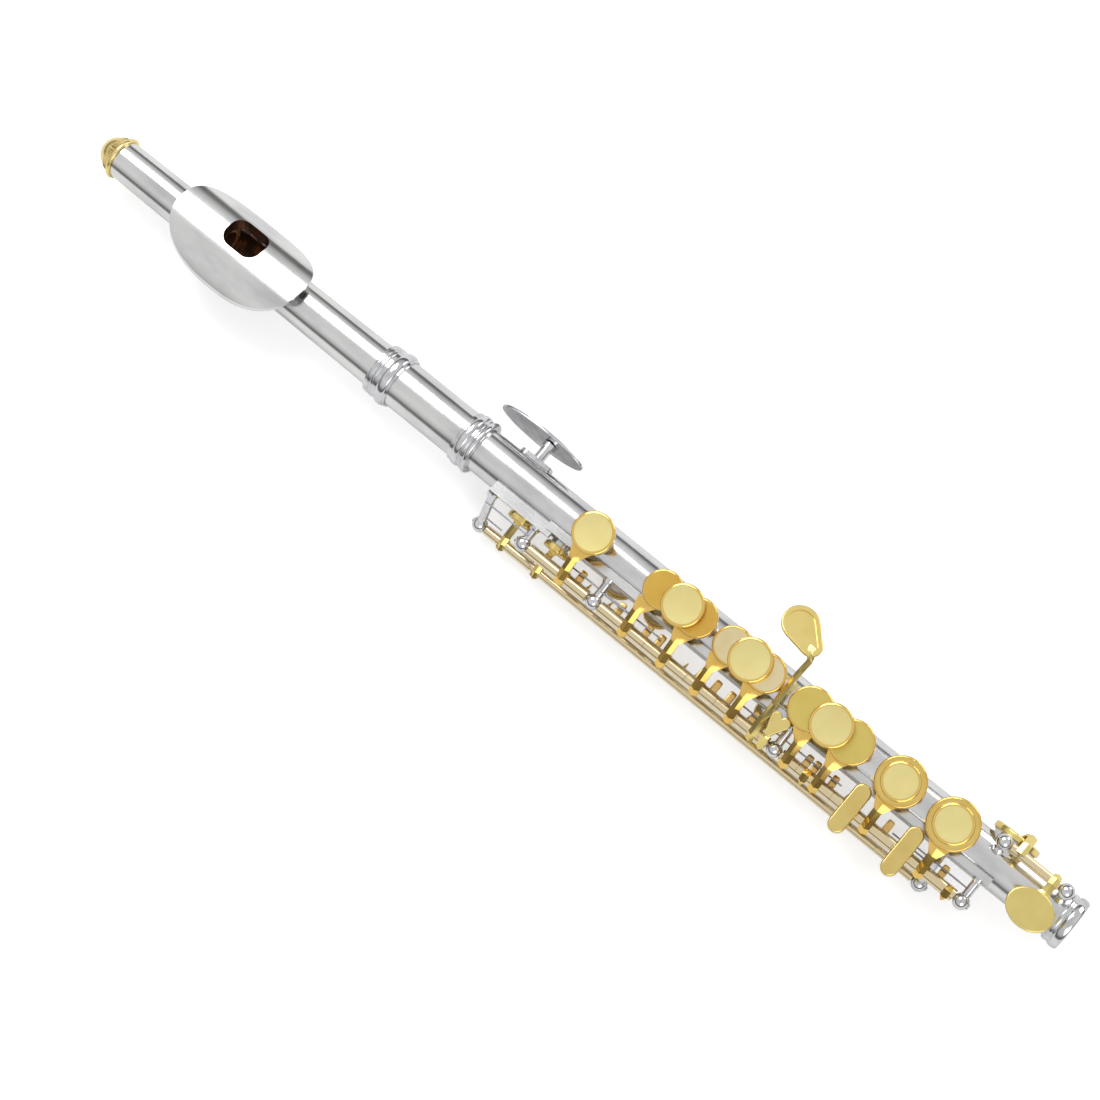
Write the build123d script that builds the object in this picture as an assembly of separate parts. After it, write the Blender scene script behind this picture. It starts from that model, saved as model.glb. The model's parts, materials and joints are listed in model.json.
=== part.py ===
from build123d import *
import math
import os

# A piccolo: head joint, barrel and keyed body. Millimetres, +X from the crown to the foot along the bore,
# +Z up through the finger discs, -Y towards the rods. The origin is the centre of the open foot end.

# ---- tubes ----
tube_radius = 6.0          # outside of the body and of the head's tenon
tube_wall = 0.45
body_length = 191.5        # from the foot end to the top of the body tube
tenon_gap = 1.0            # between the tenon's end and the body tube, inside the barrel
fit_clearance = 0.06       # radial, of the tenon in the barrel
solder_gap = 0.04          # radial, between pieces soldered together
head_end_radius = 5.25     # outside of the head tube under the crown
head_length = 114.9        # from the tenon's end to the crown
tenon_length = 24.8
barrel_wall = 0.44
barrel_radius = tube_radius + fit_clearance + barrel_wall
barrel_upper_x = -217.3
barrel_lower_x = -184.0
ring_lip = 0.4             # how far a ring stands past the tube that it covers
ring_height = 1.1          # of its tallest bead past the barrel
ring_radius = barrel_radius + ring_height
upper_ring_length = 6.6
lower_ring_length = 5.5
foot_ring_length = 4.4
foot_ring_radius = tube_radius + 1.0

# ---- crown and stopper ----
crown_radius = 6.0
crown_length = 6.7
crown_flutes = 44
crown_flute_depth = 0.28
crown_spigot_length = 2.0
face_gap = 0.05            # between faces that turn against each other
screw_radius = 1.2
screw_length = 38.0
running_gap = 0.05         # radial, of a steel in its bore
cork_length = 8.0
cork_gap = 0.1
stopper_plate_radius = 3.4
stopper_plate_thickness = 0.6
nut_radius = 3.0
nut_thickness = 1.2
stopper_setback = 6.4      # from the middle of the embouchure hole to the stopper's face

# ---- lip plate ----
head_roll = 18.0           # turn of the head joint about the bore, towards the far side
lip_x = -264.5
lip_plate_length = 41.3
lip_top_radius = 9.0       # from the bore's axis to the top of the plate
lip_near_radius = 16.0     # curve of the side that the lip rests on
lip_far_radius = 12.0
lip_near_angle = 62.0
lip_far_angle = 62.0
lip_thickness = 0.9
hole_length = 11.3
hole_width = 9.0
hole_corner = 3.4
riser_wall = 1.1

# ---- main rod, posts and rib ----
main_y, main_z = -(tube_radius + 6.5), 3.0
rod_radius = 0.8
hinge_radius = 1.6
ball_radius = 2.05
post_radius = 1.1
post_flange_radius = 1.5
post_flange_height = 0.5
post_taper = 0.5
main_post_x = (-159.5, -136.7, -79.9, -23.6)
rib_y = (-tube_radius, 2.0 - tube_radius)
rib_z = (0.65 * tube_radius, 0.65 * tube_radius + 1.3)
rib_x = (-157.5, -21.0)
shelf_x = (-174.5, -155.5)
shelf_y = (rib_y[0] - 1.4, rib_y[1] - 0.4)
shelf_z = (rib_z[0] - 0.7, rib_z[0] + 0.5)
end_gap = 0.1              # between neighbours along a rod

# ---- tone holes under the finger keys ----
cup_line_y = 0.35
rim_z = tube_radius + 0.8  # height of the tone-hole rims
rim_wall = 0.7
cup_overhang = 0.9         # of a cup past its rim
pad_gap = 0.05             # left under a closed pad
pad_thickness = 1.5
pad_proud = 0.35           # of a pad below its cup
cup_wall = 0.4
cup_edge = 0.5             # rounding of a cup's top edge
open_angle = 7.5           # of the keys that stand open

# key: middle of the cup, its radius, middle of the arm, hinge tube's two ends
finger_keys = {
    "c_key": (-146.0, 5.1, -146.5, main_post_x[0] + ball_radius, main_post_x[1] - ball_radius),
    "a_key_upper": (-124.3, 5.1, -126.3, main_post_x[1] + ball_radius, -120.2),
    "a_key_lower": (-113.6, 5.1, -114.3, -120.2, -107.3),
    "g_key_upper": (-102.7, 5.0, -103.7, -107.3, -98.0),
    "g_key_lower": (-92.35, 5.0, -93.0, -98.0, -91.5),
    "f_key_upper": (-78.7, 5.65, -76.0, main_post_x[2] + ball_radius, -72.8),
    "f_key_lower": (-66.3, 5.65, -66.9, -72.8, -62.3),
    "e_key": (-51.6, 6.35, -51.6, -62.3, -44.0),
    "d_key": (-36.0, 6.55, -35.3, -44.0, main_post_x[3] - ball_radius),
}
arm_root_width = 6.0
arm_width = 2.4

# disc: its middle, its radius, middle of its stem, which cup carries it
disc_stem_radius = 1.9
disc_stem_height = 1.0
disc_thickness = 1.2
raised_discs = {
    "c_disc": (-146.0, 5.45, -146.0),
    "a_disc": (-117.9, 5.45, -115.6),
    "g_disc": (-97.0, 5.55, -94.6),
    "f_disc": (-72.3, 5.5, -69.4),
}
inlaid_discs = {"e_disc": (-51.6, 4.9), "d_disc": (-36.0, 5.1)}
inlaid_thickness = 0.7

# ---- lever keys on the main rod ----
gsharp_tube = (-91.5, -84.6)
gsharp_x = -86.25
gsharp_arm_width = 1.5
gsharp_angle = 135.0       # of its tone hole, from the top towards the rods
gsharp_cup_radius = 4.6
leaf_x, leaf_y, leaf_z = -91.0, 12.8, tube_radius + 2.6
leaf_length, leaf_width, leaf_thickness = 13.8, 9.6, 1.0
leaf_recess = 0.35
leaf_taper = 0.6           # width of its narrow end, as a share
leaf_turn = -28.0
leaf_rim = 1.3
side_tube = (-84.6, main_post_x[2] - ball_radius)
side_x = -83.1
side_plate_x = (-85.2, -80.1)
side_plate_y = (-11.8, -5.4)
side_plate_z = tube_radius + 1.3
side_plate_thickness = 0.9

# ---- trill keys ----
trill_y, trill_z = main_y - 1.7, -6.5
trill_rod_radius = 0.55
trill_tube_radius = 1.1
trill_upper_radius = 1.3
trill_post_x = (-173.2, -33.8)
trill_split_x = (-156.25, -47.0)
trill_arm_x = (-165.4, -154.2)
trill_cup_x = (-164.6, -152.9)
trill_cup_radius = 3.5
trill_angle = 95.0
side_rim_radius = tube_radius + 0.75  # height of the side tone-hole rims above the bore's axis
touch_x = (-41.3, -57.1)
touch_y = main_y
touch_z = 5.6
touch_length, touch_width, touch_thickness = 14.0, 4.5, 1.3

# ---- foot key ----
foot_y, foot_z = 4.1, tube_radius + 2.5
foot_post_x = (-24.4, -6.4)
foot_hinge_radius = 1.25
foot_rod_radius = 0.6
dsharp_x = -22.6
dsharp_angle = -83.0       # of its tone hole, from the top towards the far side
dsharp_cup_radius = 6.3
dsharp_arm_x = -19.9
dsharp_touch_x, dsharp_touch_y, dsharp_touch_z = -10.4, -4.9, tube_radius + 4.6
dsharp_touch_length, dsharp_touch_width, dsharp_touch_thickness = 12.2, 9.6, 1.0

# ---- thumb keys ----
thumb_y, thumb_z = 5.2, -(tube_radius + 1.9)
thumb_post_x = (-146.0, -119.0)
thumb_split_x = -130.2
thumb_x = (-136.5, -124.0)
thumb_angle = 158.0
thumb_cup_radius = (4.6, 4.0)
thumb_arm_width = 2.0
thumb_open_angle = 4.5

# ---- finger rest ----
rest_post_x = -171.3
rest_plate_x = -174.2
rest_plate_length, rest_plate_height, rest_plate_thickness = 26.1, 9.0, 0.9
rest_distance = tube_radius + 5.7       # from the bore's axis to the plate
rest_lean = -15.0
rest_post_radius = 1.5
rest_foot_length, rest_foot_width, rest_foot_height = 9.8, 4.6, 0.8

# ---- springs ----
spring_radius = 0.22

bore_radius = tube_radius - tube_wall
tenon_end_x = -body_length - tenon_gap
shoulder_x = tenon_end_x - tenon_length
crown_x = tenon_end_x - head_length
barrel_bore = tube_radius + fit_clearance
cup_bottom_z = rim_z + pad_gap + pad_proud
cup_top_z = rim_z + pad_gap + pad_thickness + cup_wall
hinge_line = Axis((0, main_y, main_z), (1, 0, 0))
trill_line = Axis((0, trill_y, trill_z), (1, 0, 0))
foot_line = Axis((0, foot_y, foot_z), (1, 0, 0))
thumb_line = Axis((0, thumb_y, thumb_z), (1, 0, 0))


def rod(x0, x1, radius, y=0.0, z=0.0):
    """A round bar along X."""
    return Pos((x0 + x1) / 2, y, z) * Rot(0, 90, 0) * Cylinder(radius, abs(x1 - x0))


def hinge_tube(x0, x1, radius, y, z):
    """A tube along X that stands end_gap / 2 clear of its two neighbours."""
    return rod(x0 + end_gap / 2, x1 - end_gap / 2, radius, y, z)


def turned(outline):
    """A solid of revolution about X, from a closed list of (x, radius) points."""
    points = [(x, 0, r) for x, r in outline]
    return revolve(make_face(Polyline(*points, close=True)), Axis.X, 360)


def bar(start, end, radius):
    """A round bar between two points."""
    a, b = Vector(*start), Vector(*end)
    plane = Plane(origin=(a + b) / 2, z_dir=b - a)
    return plane * Cylinder(radius, (b - a).length)


def polar(angle, distance):
    """The (y, z) point at a distance from the bore, its angle from the top towards the rods."""
    turn = math.radians(angle)
    return -distance * math.sin(turn), distance * math.cos(turn)


def about_bore(solid, angle):
    """Turns a solid about the bore, from the top towards the rods."""
    return solid.rotate(Axis.X, angle)


def ribbed_arm(x, stations):
    """A bar with a ridge along its back, through (y, z, lean, width, thickness, shift) stations."""
    faces = []
    for y, z, lean, width, thickness, shift in stations:
        turn = math.radians(lean)
        up = Vector(0, -math.sin(turn), math.cos(turn))
        middle = Vector(x + shift, y, z)
        side = Vector(width / 2, 0, 0)
        shoulder = up * (thickness * 0.1)
        corners = [
            middle - side - up * (thickness / 2),
            middle + side - up * (thickness / 2),
            middle + side + shoulder,
            middle + up * (thickness / 2),
            middle - side + shoulder,
        ]
        faces.append(make_face(Polyline(*corners, close=True)))
    return loft(faces, ruled=True)


def cup(x, y, radius, bottom, top):
    """A shallow round cup, open below, with a rounded top edge, and the room inside it."""
    shell = Pos(x, y, (bottom + top) / 2) * Cylinder(radius, top - bottom)
    shell = fillet(shell.edges().group_by(Axis.Z)[-1], cup_edge)
    height = top - cup_wall - bottom
    return shell, Pos(x, y, bottom + height / 2) * Cylinder(radius - cup_wall, height)


def pad(x, y, cup_radius, top):
    return Pos(x, y, top - pad_thickness / 2) * Cylinder(cup_radius - cup_wall - running_gap, pad_thickness)


def tone_hole(x, y, cup_radius, height):
    """A raised rim round a tone hole, and the hole through it."""
    rim_radius = cup_radius - cup_overhang
    rim = Pos(x, y, height / 2) * Cylinder(rim_radius, height)
    hole = Pos(x, y, height / 2) * Cylinder(rim_radius - rim_wall, height + 1)
    return rim, hole


def beaded_ring(x0, x1, bore, radius, beads):
    """A turned band with round beads: each (share along the band, half width, share of the height)."""
    length = x1 - x0
    height = radius - bore
    base = 0.45 * height
    section = Plane.XZ * (Pos((x0 + x1) / 2, bore + base / 2) * Rectangle(length, base))
    for place, half_width, share in beads:
        peak = bore + share * height
        section += Plane.XZ * (Pos(x0 + place * length, bore + base) * Ellipse(half_width, peak - bore - base))
    section -= Plane.XZ * (Pos((x0 + x1) / 2, bore - height) * Rectangle(2 * length, 2 * height))
    return revolve(section, Axis.X, 360)


def closed_end(x_end, inner, outer, thickness):
    """A thin washer that closes a ring onto the tube inside it."""
    return rod(x_end, x_end + thickness, outer) - rod(x_end - 1, x_end + thickness + 1, inner)


# ---------------------------------------------------------------- body
def make_body_tube():
    body = rod(-body_length, 0, tube_radius)
    holes = []
    for middle, radius, _, _, _ in finger_keys.values():
        rim, hole = tone_hole(middle, cup_line_y, radius, rim_z)
        body += rim
        holes.append(hole)
    side_holes = [(trill_cup_x[0], trill_cup_radius, trill_angle), (trill_cup_x[1], trill_cup_radius, trill_angle),
                  (gsharp_x, gsharp_cup_radius, gsharp_angle), (dsharp_x, dsharp_cup_radius, dsharp_angle),
                  (thumb_x[0], thumb_cup_radius[0], thumb_angle), (thumb_x[1], thumb_cup_radius[1], thumb_angle)]
    for middle, radius, angle in side_holes:
        rim, hole = tone_hole(middle, 0, radius, side_rim_radius)
        body += about_bore(rim, angle)
        holes.append(about_bore(hole, angle))
    body -= rod(-body_length - 1, 1, bore_radius)
    for hole in holes:
        body -= hole
    return body


def make_barrel():
    return rod(barrel_upper_x, barrel_lower_x, barrel_radius) - rod(barrel_upper_x - 1, barrel_lower_x + 1, barrel_bore)


def make_upper_ring():
    x0 = barrel_upper_x - ring_lip
    beads = [(0.13, 0.5, 0.55), (0.3, 0.45, 0.62), (0.72, 1.35, 1.0)]
    ring = beaded_ring(x0, x0 + upper_ring_length + ring_lip, barrel_radius + solder_gap, ring_radius, beads)
    lip = closed_end(x0, tube_radius + 2 * fit_clearance, barrel_radius + 0.4, ring_lip - solder_gap)
    return ring + lip


def make_lower_ring():
    x1 = barrel_lower_x + ring_lip
    beads = [(0.35, 1.0, 0.85), (0.62, 0.35, 0.6), (0.86, 0.75, 1.0)]
    ring = beaded_ring(x1 - lower_ring_length - ring_lip, x1, barrel_radius + solder_gap, ring_radius, beads)
    lip = closed_end(barrel_lower_x + solder_gap, tube_radius + solder_gap, barrel_radius + 0.4,
                     ring_lip - solder_gap)
    return ring + lip


def make_foot_ring():
    beads = [(0.2, 0.5, 0.6), (0.7, 1.3, 1.0)]
    return beaded_ring(-foot_ring_length, 0, tube_radius + solder_gap, foot_ring_radius, beads)


def tube_clearance(x0, x1):
    """The space that the body tube takes, for cutting what is soldered to it."""
    return rod(x0, x1, tube_radius + solder_gap)


def block(xs, ys, zs):
    """A box between two corners, given as pairs of limits."""
    middle = [sum(pair) / 2 for pair in (xs, ys, zs)]
    return Pos(*middle) * Box(*(high - low for low, high in (xs, ys, zs)))


def make_rib():
    rib = block(rib_x, rib_y, rib_z) + block(shelf_x, shelf_y, shelf_z)
    rib -= tube_clearance(shelf_x[0] - 1, rib_x[1] + 1)
    for x_cup, radius, *_ in finger_keys.values():
        rib -= Pos(x_cup, cup_line_y, rim_z / 2) * Cylinder(radius - cup_overhang + solder_gap, rim_z)
    return rib


def ball_post(x, base, top, hole_radius, cutter):
    """A turned post with a flange and a ball, bored along X for a rod."""
    y0, z0 = base
    y1, z1 = top
    length = math.hypot(y1 - y0, z1 - z0)
    sunk = 1.0
    shoulder = length - math.sqrt(ball_radius ** 2 - post_radius ** 2)
    flange_top = sunk + post_flange_height
    stem = Polyline((0, 0, length + ball_radius), (0, 0, 0), (post_flange_radius, 0, 0),
                    (post_flange_radius, 0, flange_top), (post_radius, 0, flange_top + post_taper),
                    (post_radius, 0, shoulder))
    ball = ThreePointArc((post_radius, 0, shoulder), (ball_radius, 0, length), (0, 0, length + ball_radius))
    half = Wire([*stem.edges(), ball])
    post = revolve(make_face(half), Axis.Z, 360)
    lean = math.degrees(math.atan2(y1 - y0, z1 - z0))
    post = Pos(x, y0, z0) * Rot(-lean, 0, 0) * post
    return post - cutter - rod(x - 3, x + 3, hole_radius + running_gap, y1, z1)


def rib_post(x, face_y, face_z, top, hole_radius):
    """A post that stands on the rib's outer face."""
    run = math.hypot(top[0] - face_y, top[1] - face_z)
    back_y = face_y - (top[0] - face_y) / run
    back_z = face_z - (top[1] - face_z) / run
    behind = block((x - 5, x + 5), (face_y, face_y + 10), (-10, 20))
    return ball_post(x, (back_y, back_z), top, hole_radius, behind)


def on_shelf(x):
    return x < rib_x[0]


def make_rib_posts(places, top, hole_radius):
    posts = []
    for x in places:
        ys, zs = (shelf_y, shelf_z) if on_shelf(x) else (rib_y, rib_z)
        posts.append(rib_post(x, ys[0], sum(zs) / 2, top, hole_radius))
    return posts


def radial_posts(places, y, z, hole_radius, neighbour=None):
    """Posts that stand straight out of the body tube, cut back from a tone hole's rim beside them."""
    distance = math.hypot(y, z)
    foot = (y * (tube_radius - 0.9) / distance, z * (tube_radius - 0.9) / distance)
    posts = []
    for x in places:
        cutter = tube_clearance(x - 5, x + 5)
        if neighbour:
            cutter += neighbour
        posts.append(ball_post(x, foot, (y, z), hole_radius, cutter))
    return posts


def make_foot_posts():
    rim_radius = dsharp_cup_radius - cup_overhang + solder_gap
    height = side_rim_radius + solder_gap
    rim = about_bore(Pos(dsharp_x, 0, height / 2) * Cylinder(rim_radius, height), dsharp_angle)
    return radial_posts(foot_post_x, foot_y, foot_z, foot_rod_radius, rim)


def make_finger_rest():
    foot = Pos(rest_post_x, 0, tube_radius) * Box(rest_foot_length, rest_foot_width, 2 * rest_foot_height)
    foot = fillet(foot.edges().filter_by(Axis.Z), 1.8)
    foot = about_bore(foot, -90)
    post = bar((rest_post_x, tube_radius - 0.5, 0), (rest_post_x, rest_distance, 0), rest_post_radius)
    collar = bar((rest_post_x, rest_distance - 1.4, 0), (rest_post_x, rest_distance, 0), rest_post_radius * 1.3)
    plate = extrude(Ellipse(rest_plate_length / 2, rest_plate_height / 2), rest_plate_thickness)
    plate = fillet(plate.edges(), 0.3)
    plate = Pos(rest_plate_x, rest_distance - 0.2, 0) * Rot(-90 + rest_lean, 0, 0) * plate
    under = Pos(rest_plate_x, rest_distance - 0.2, 0) * Rot(-90 + rest_lean, 0, 0) * Pos(0, 0, 5 + rest_plate_thickness / 2) * Box(
        rest_plate_length, 12, 10)
    rest = foot + ((post + collar) - under) + plate
    return rest - tube_clearance(rest_post_x - 20, rest_post_x + 20)


# ---------------------------------------------------------------- head
def head_radius_at(x):
    share = (shoulder_x - x) / (shoulder_x - crown_x)
    return tube_radius + (head_end_radius - tube_radius) * share


def make_head_tube():
    outside = turned([(crown_x, 0), (crown_x, head_end_radius), (shoulder_x, tube_radius), (tenon_end_x, tube_radius),
                      (tenon_end_x, 0)])
    inside = turned([(crown_x - 1, 0), (crown_x - 1, head_end_radius - tube_wall), (shoulder_x, bore_radius),
                     (tenon_end_x + 1, bore_radius), (tenon_end_x + 1, 0)])
    hole = hole_cutter(0, 12)
    return outside - inside - about_bore(hole, -head_roll)


def hole_cutter(z0, z1, grow=0.0):
    """The embouchure hole's rounded outline, extruded up."""
    outline = RectangleRounded(hole_length + 2 * grow, hole_width + 2 * grow, hole_corner + grow)
    return Pos(lip_x, 0, z0) * extrude(outline, z1 - z0)


def lip_section(depth):
    """The plate's outline across the bore, depth below its top surface, closed well below."""
    near, far = lip_near_radius, lip_far_radius
    near_z, far_z = lip_top_radius - near, lip_top_radius - far
    na, fa = math.radians(lip_near_angle), math.radians(lip_far_angle)
    rn, rf = near - depth, far - depth
    near_end = (0, -rn * math.sin(na), near_z + rn * math.cos(na))
    near_mid = (0, -rn * math.sin(na / 2), near_z + rn * math.cos(na / 2))
    far_end = (0, rf * math.sin(fa), far_z + rf * math.cos(fa))
    far_mid = (0, rf * math.sin(fa / 2), far_z + rf * math.cos(fa / 2))
    top = (0, 0, lip_top_radius - depth)
    near_foot = (0, near_end[1], -10)
    far_foot = (0, far_end[1], -10)
    lines = [ThreePointArc(near_end, near_mid, top), ThreePointArc(top, far_mid, far_end),
             Line(far_end, far_foot), Line(far_foot, near_foot), Line(near_foot, near_end)]
    return make_face(Wire(lines))


def lip_block(depth):
    section = lip_section(depth)
    return Pos(lip_x - lip_plate_length, 0, 0) * extrude(section, amount=2 * lip_plate_length, dir=(1, 0, 0))


def make_lip_plate():
    na, fa = math.radians(lip_near_angle), math.radians(lip_far_angle)
    near_y = -(lip_near_radius - lip_thickness) * math.sin(na)
    far_y = (lip_far_radius - lip_thickness) * math.sin(fa)
    middle_y, half_y = (near_y + far_y) / 2, (far_y - near_y) / 2
    half_x = lip_plate_length / 2
    power = 2.6
    steps = 48
    points = []
    for i in range(steps):
        turn = 2 * math.pi * i / steps
        c, s = math.cos(turn), math.sin(turn)
        points.append((lip_x + half_x * math.copysign(abs(c) ** (2 / power), c),
                       middle_y + half_y * math.copysign(abs(s) ** (2 / power), s), -12))
    outline = make_face(Spline(*points, periodic=True))
    blank = extrude(outline, amount=30, dir=(0, 0, 1))
    plate = (lip_block(0) - lip_block(lip_thickness)) & blank
    plate -= hole_cutter(0, 12)
    return about_bore(plate, -head_roll)


def make_riser():
    wall = hole_cutter(2, 12, riser_wall) & lip_block(lip_thickness + solder_gap)
    wall -= hole_cutter(0, 13)
    outside = turned([(crown_x, 0), (crown_x, head_end_radius + solder_gap), (shoulder_x, tube_radius + solder_gap),
                      (shoulder_x, 0)])
    return about_bore(wall - outside, -head_roll)


def milled_band(x0, x1, r0, r1):
    """A band of teeth round X, from radius r0 at x0 to r1 at x1."""
    faces = []
    for x, r in ((x0, r0), (x1, r1)):
        points = []
        for i in range(2 * crown_flutes):
            reach = r if i % 2 else r - crown_flute_depth
            turn = math.pi * i / crown_flutes
            points.append((x, reach * math.sin(turn), reach * math.cos(turn)))
        faces.append(make_face(Polyline(*points, close=True)))
    return loft(faces, ruled=True)


def make_crown():
    """The crown: a thick rim, a milled band and a spherical dome, with the spigot that turns in the tube."""
    back = crown_x - face_gap
    r = crown_radius
    rim, band, dome = 1.2, 1.8, crown_length - 3.0
    dome_base = r - 1.5
    sphere = (dome_base ** 2 + dome ** 2) / (2 * dome)
    turn = math.atan2(dome_base, sphere - dome) / 2
    tip = back - crown_length
    halfway = (tip + sphere * (1 - math.cos(turn)), 0, sphere * math.sin(turn))
    edge = back - rim - band
    profile = make_face(Wire([
        Line((back, 0, 0), (back, 0, r - 0.3)),
        ThreePointArc((back, 0, r - 0.3), (back - rim / 2, 0, r), (back - rim, 0, r - 0.35)),
        Line((back - rim, 0, r - 0.35), (back - rim - 0.3, 0, r - 1.1)),
        Line((back - rim - 0.3, 0, r - 1.1), (edge, 0, dome_base)),
        ThreePointArc((edge, 0, dome_base), halfway, (tip, 0, 0)),
        Line((tip, 0, 0), (back, 0, 0)),
    ]))
    crown = revolve(profile, Axis.X, 360)
    crown += milled_band(edge - 0.1, back - rim + 0.1, r - 1.15, r - 0.5)
    spigot_radius = head_end_radius - tube_wall - 2 * running_gap
    crown += rod(back - 0.5, back + crown_spigot_length, spigot_radius)
    return crown - rod(back - 4.5, back + crown_spigot_length + 1, screw_radius + running_gap)


def stopper_places():
    face = lip_x - stopper_setback
    return face, face - cork_length


def make_screw():
    face, _ = stopper_places()
    end = face - stopper_plate_thickness - solder_gap
    return rod(end - screw_length, end, screw_radius)


def make_cork():
    face, back = stopper_places()
    front = face - stopper_plate_thickness
    r0 = head_radius_at(back) - tube_wall - cork_gap
    r1 = head_radius_at(face) - tube_wall - cork_gap
    cork = turned([(back, 0), (back, r0), (face, r1), (face, stopper_plate_radius + solder_gap),
                   (front, stopper_plate_radius + solder_gap), (front, 0)])
    return cork - rod(back - 1, front + 1, screw_radius + solder_gap)


def make_stopper_plate():
    face, _ = stopper_places()
    return rod(face - stopper_plate_thickness, face, stopper_plate_radius)


def make_stopper_nut():
    _, back = stopper_places()
    return rod(back - nut_thickness, back, nut_radius) - rod(back - nut_thickness - 1, back + 1,
                                                             screw_radius + solder_gap)


# ---------------------------------------------------------------- finger keys
def key_arm(x_cup, x_arm, radius):
    """From the cup's edge down to the rod, ending in a point beyond it."""
    web = -radius + 0.9 + cup_line_y
    lift = cup_top_z - 0.75
    reach = web - main_y
    return ribbed_arm(x_arm, [
        (web, lift, 0, arm_root_width, 0.9, (x_cup - x_arm) * 0.5),
        (web - 0.16 * reach, lift - 0.1, 6, 0.8 * arm_root_width, 1.0, (x_cup - x_arm) * 0.3),
        (web - 0.44 * reach, lift - 0.55, 18, arm_width, 1.25, 0),
        (web - 0.78 * reach, lift - 1.9, 32, arm_width, 1.5, 0),
        (main_y - 0.6, main_z + hinge_radius + 0.1, 48, arm_width, 1.6, 0),
        (main_y - hinge_radius - 0.35, main_z + 0.6, 78, arm_width, 1.3, 0),
        (main_y - hinge_radius - 0.5, main_z - 1.2, 95, 0.8, 0.7, 0),
    ])


def knuckle(x, y, z, radius, width):
    return rod(x - width / 2, x + width / 2, radius, y, z)


def make_finger_key(name):
    x_cup, radius, x_arm, x0, x1 = finger_keys[name]
    shell, room = cup(x_cup, cup_line_y, radius, cup_bottom_z, cup_top_z)
    key = key_arm(x_cup, x_arm, radius)
    key += shell
    key += knuckle(x_arm, main_y, main_z, hinge_radius + 0.25, arm_width)
    key += hinge_tube(x0, x1, hinge_radius, main_y, main_z)
    key -= room
    key -= rod(x0 - 1, x1 + 1, rod_radius + running_gap, main_y, main_z)
    return key.rotate(hinge_line, open_angle)


def with_collar(key, x):
    """Adds a small pointed stop collar to a key's hinge tube."""
    collar = ribbed_arm(x, [
        (main_y + 1.2, main_z + hinge_radius - 0.2, -30, 1.6, 1.2, 0),
        (main_y, main_z + hinge_radius + 0.15, 0, 2.0, 1.2, 0),
        (main_y - hinge_radius + 0.1, main_z + 0.9, 60, 2.0, 1.2, 0),
        (main_y - hinge_radius - 0.9, main_z - 0.5, 80, 0.7, 0.6, 0),
    ])
    collar -= rod(x - 3, x + 3, rod_radius + running_gap, main_y, main_z)
    return key + collar.rotate(hinge_line, open_angle)


def make_finger_pad(name):
    x_cup, radius = finger_keys[name][:2]
    return pad(x_cup, cup_line_y, radius, cup_top_z - cup_wall).rotate(hinge_line, open_angle)


def make_raised_disc(name):
    x, radius, stem_x = raised_discs[name]
    bottom = cup_top_z + disc_stem_height
    disc = Pos(x, cup_line_y, bottom + disc_thickness / 2) * Cylinder(radius, disc_thickness)
    disc = fillet(disc.edges().filter_by(GeomType.CIRCLE), 0.35)
    disc += Pos(stem_x, cup_line_y, cup_top_z + disc_stem_height / 2) * Cylinder(disc_stem_radius, disc_stem_height)
    return disc.rotate(hinge_line, open_angle)


def make_inlaid_disc(name):
    x, radius = inlaid_discs[name]
    disc = Pos(x, cup_line_y, cup_top_z + inlaid_thickness / 2) * Cylinder(radius, inlaid_thickness)
    disc = fillet(disc.edges().group_by(Axis.Z)[-1], 0.25)
    return disc.rotate(hinge_line, open_angle)


# ---------------------------------------------------------------- lever keys
def side_cup(x, radius, angle):
    """A cup and its pad over a side tone hole, closed, with the room inside the cup."""
    bottom = side_rim_radius + pad_gap + pad_proud
    top = side_rim_radius + pad_gap + pad_thickness + cup_wall
    shell, room = cup(x, 0, radius, bottom, top)
    disc = pad(x, 0, radius, top - cup_wall)
    return about_bore(shell, angle), about_bore(room, angle), about_bore(disc, angle)


side_cup_back = side_rim_radius + pad_gap + pad_thickness + cup_wall


def side_pad(x, radius, angle):
    return side_cup(x, radius, angle)[2]


def leaf_outline(inset):
    """A broad round end joined by straight sides to a narrow one, which is towards the arm."""
    broad = leaf_width / 2 - inset
    narrow = leaf_width * leaf_taper / 2 - inset
    half = (leaf_length - leaf_width * (1 + leaf_taper) / 2) / 2
    ends = Pos(-half, 0) * Circle(broad) + Pos(half, 0) * Circle(narrow)
    return make_hull(ends.edges())


def make_leaf():
    leaf = extrude(leaf_outline(0), leaf_thickness)
    leaf = fillet(leaf.edges(), 0.3)
    leaf -= Pos(0, 0, leaf_thickness - leaf_recess) * extrude(leaf_outline(leaf_rim), leaf_recess + 0.1)
    return Pos(leaf_x, leaf_y, leaf_z) * Rot(-14, 0, 0) * Rot(0, 0, leaf_turn) * leaf


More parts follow.
